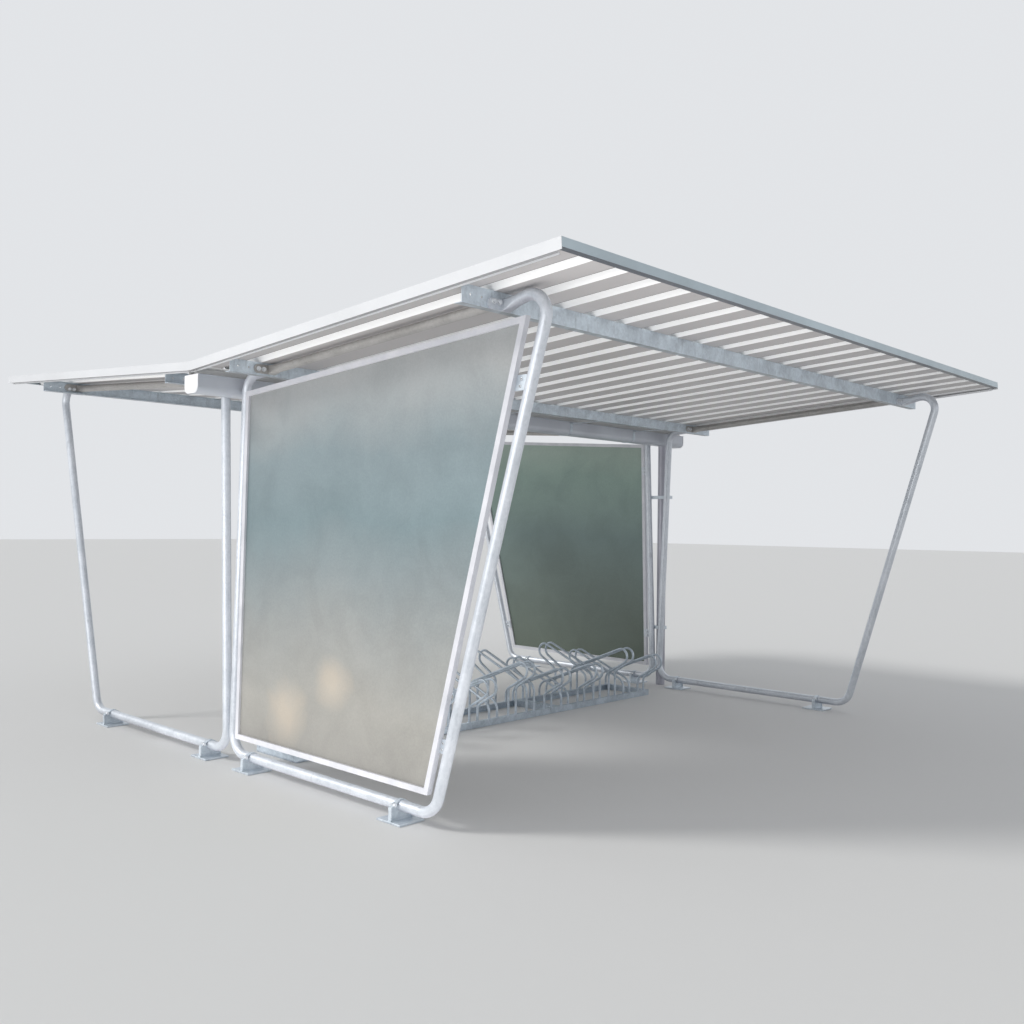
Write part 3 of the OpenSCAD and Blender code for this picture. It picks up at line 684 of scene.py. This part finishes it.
for label, end in (("near_verge", -1), ("far_verge", 1)):
    bm = bmesh.new()
    for side in (-1, 1):
        for i in range(rivetSpec["vergeCount"]):
            rivet(bm, side, rivetSpec["vergeFirst"] + i * rivetSpec["vergeStep"], end * rivetSpec["vergeY"])
    finishPiece(label + "_rivets", bm, boltZinc)
for label, side in (("right_eave", 1), ("left_eave", -1)):
    bm = bmesh.new()
    for rib in range(ribCount):
        rivet(bm, side, rivetSpec["eaveAlong"], ribCentre + rib * roofLook["pitch"])
    finishPiece(label + "_rivets", bm, boltZinc)
print("stage: roof screws and rivets made")

# Folded cover strips that close the verge trims' seam at the valley, with the trims' own profile

coverSpec = {"halfWidth": 0.0124, "end": 2.180, "base": 2.0528, "leaf": 0.180, "crest": 0.032,
             "sheet": 0.002, "drop": 0.011, "lip": 0.022, "hem": 0.008}


def coverProfile(spec):
    thick, drop, back = spec["sheet"], spec["drop"], spec["lip"] + spec["sheet"]
    top, foot = spec["crest"] + thick, drop + spec["hem"]
    return [(-spec["leaf"], spec["crest"]), (-spec["leaf"], top), (0, top), (0, -drop),
            (-spec["lip"], -drop), (-spec["lip"], -foot), (-back, -foot), (-back, thick - drop),
            (-thick, thick - drop), (-thick, spec["crest"])]


for label, end in (("near_verge", -1), ("far_verge", 1)):
    bm = bmesh.new()
    outline = [(end * (coverSpec["end"] + y), coverSpec["base"] + z) for y, z in coverProfile(coverSpec)]
    extrudeX(bm, outline, -coverSpec["halfWidth"], coverSpec["halfWidth"])
    finishPiece(label + "_seam_cover", bm, materials["verge_trim"], smooth=False)
print("stage: valley covers made")

# Weld rings at the hoops' feet and beads between rails and cross members

rackSpec = {"x": 0.0425, "y": -1.660, "module": 1.050, "slots": 6, "gap": 0.072, "foot": 0.180,
            "top": 0.040, "bar": 0.008, "ring": 0.0045, "face": 0.193, "rail": 0.026, "cross": 0.034,
            "beadLow": 0.006, "beadHigh": 0.004, "bead": 0.005}
for number, label in enumerate(("near_rack", "middle_rack", "far_rack")):
    bm = bmesh.new()
    for slotNumber in range(rackSpec["slots"]):
        slotY = rackSpec["y"] + rackSpec["module"] * (number + (slotNumber + 0.5) / rackSpec["slots"])
        for pair in (-1, 1):
            y = slotY + pair * rackSpec["gap"] / 2
            for side in (-1, 1):
                hoopFoot = (rackSpec["x"] + side * rackSpec["foot"], y, rackSpec["top"])
                seamRing(bm, hoopFoot, (0, 0, 1), rackSpec["bar"], rackSpec["ring"])
    low = rackSpec["y"] + number * rackSpec["module"]
    high = low + rackSpec["module"]
    for side in (-1, 1):
        inner = rackSpec["x"] + side * (rackSpec["face"] - rackSpec["rail"])
        for y in (low, low + rackSpec["cross"], high - rackSpec["cross"], high):
            beadTop = (inner, y, rackSpec["top"] - rackSpec["beadHigh"])
            bead(bm, (inner, y, rackSpec["beadLow"]), beadTop, rackSpec["bead"])
    finishPiece(label + "_welds", bm, materials["rack_steel"])
print("stage: rack welds made")

# Floor and background

floorLook = {"size": 120.0, "z": -0.001, "colour": (0.70, 0.70, 0.695, 1), "rough": 0.9}
bpy.ops.mesh.primitive_plane_add(size=floorLook["size"], location=(0, 0, floorLook["z"]))
floor = bpy.context.object
floor.name = "floor"
floorMaterial, _, floorShader = newMaterial("floorPale")
floorShader.inputs["Base Color"].default_value = floorLook["colour"]
floorShader.inputs["Roughness"].default_value = floorLook["rough"]
floor.data.materials.append(floorMaterial)

# The sky's light on surfaces, as mirrored in metal, and as the camera is shown it
skyLook = {"colour": (0.93, 0.95, 0.98, 1), "strength": 0.62, "mirrored": 0.93, "shown": 0.82}
world = bpy.data.worlds.new("studio")
bpy.context.scene.world = world
world.use_nodes = True
skyTree = world.node_tree
rays = addNode(skyTree, "ShaderNodeLightPath")
mirrored = addNode(skyTree, "ShaderNodeMapRange", {
    "Value": rays.outputs["Is Glossy Ray"], "To Min": skyLook["strength"], "To Max": skyLook["mirrored"]})
level = addNode(skyTree, "ShaderNodeMapRange", {
    "Value": rays.outputs["Is Camera Ray"], "To Min": mirrored.outputs["Result"],
    "To Max": skyLook["shown"]})
skyTree.nodes["Background"].inputs["Color"].default_value = skyLook["colour"]
skyTree.links.new(level.outputs["Result"], skyTree.nodes["Background"].inputs["Strength"])

# Lamps: a soft sun, a wide low fill in front, and the light that the ground throws up

sunLook = {"strength": 1.45, "spread": 14, "colour": (1.0, 0.99, 0.96), "heading": (0.50, 0.62, -0.60)}
fillLook = {"at": (1.0, -11.0, 0.9), "aim": (0.6, 0, 1.9), "size": (9.0, 1.6), "power": 220,
            "colour": (1.0, 0.99, 0.98)}
bounceLook = {"at": (1.7, -2.2, 0.004), "aim": (1.7, -2.2, 2.0), "size": (5.0, 3.4), "power": 62,
              "colour": (1.0, 0.99, 0.98)}


def addLamp(name, kind, colour, power, heading):
    data = bpy.data.lights.new(name, kind)
    data.energy = power
    data.color = colour
    lamp = bpy.data.objects.new(name, data)
    bpy.context.collection.objects.link(lamp)
    lamp.rotation_euler = Vector(heading).to_track_quat("-Z", "Y").to_euler()
    return lamp


def addPanelLamp(name, look):
    heading = Vector(look["aim"]) - Vector(look["at"])
    lamp = addLamp(name, "AREA", look["colour"], look["power"], heading)
    lamp.location = look["at"]
    lamp.data.shape = "RECTANGLE"
    lamp.data.size, lamp.data.size_y = look["size"]
    return lamp


sun = addLamp("softSun", "SUN", sunLook["colour"], sunLook["strength"], sunLook["heading"])
sun.data.angle = math.radians(sunLook["spread"])
addPanelLamp("frontFill", fillLook)
bounce = addPanelLamp("groundBounce", bounceLook)
bounce.visible_camera = False
bounce.visible_glossy = False
print("stage: floor, sky and lamps made")

# Camera at the photograph's angle, turned in degrees about x, y and z

cameraLook = {"position": (4.671, -4.676, 1.273), "turn": (90.758, -0.728, 43.693), "lens": 34.77,
              "clipEnd": 400}
camera = bpy.data.objects.new("camera", bpy.data.cameras.new("camera"))
bpy.context.collection.objects.link(camera)
camera.location = cameraLook["position"]
camera.rotation_euler = tuple(math.radians(angle) for angle in cameraLook["turn"])
camera.data.lens = cameraLook["lens"]
camera.data.clip_end = cameraLook["clipEnd"]
bpy.context.scene.camera = camera
bpy.context.scene.view_settings.view_transform = "Standard"

print("stage: done")
